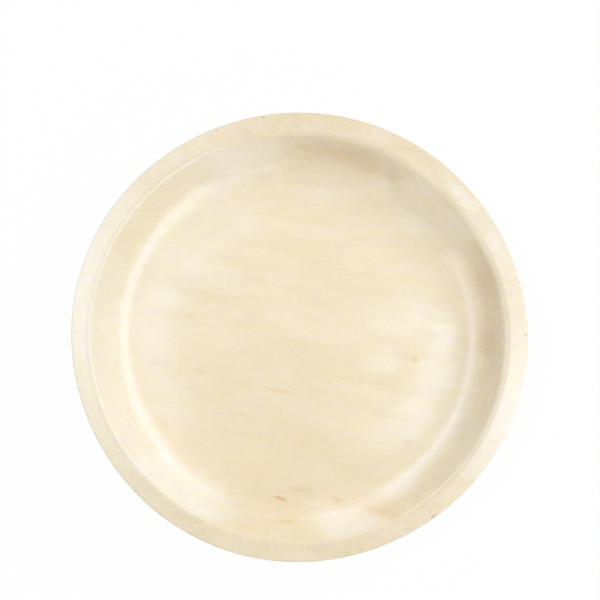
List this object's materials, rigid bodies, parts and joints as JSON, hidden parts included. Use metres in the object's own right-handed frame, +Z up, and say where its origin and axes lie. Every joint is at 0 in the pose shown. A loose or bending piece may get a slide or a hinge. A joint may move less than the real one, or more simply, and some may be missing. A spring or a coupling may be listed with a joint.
{
  "type": "disposable wooden plate",
  "caption": "Shallow round disposable plate pressed from thin pale wood, with a flat base, a sloping wall and a flat rim, for serving food.",
  "frame": {"origin": "on the underside of the flat base, below the middle of the lip's outline", "axes": "+Z up out of the dish; +X to the right in the picture, close to the direction of the grain"},
  "size_m": [0.2301, 0.2265, 0.02],
  "materials": {
    "wood": "bare pressed wood with a slight sheen along the grain"
  },
  "bodies": {
    "root": {"plate": "wood"}
  },
  "joints": []
}
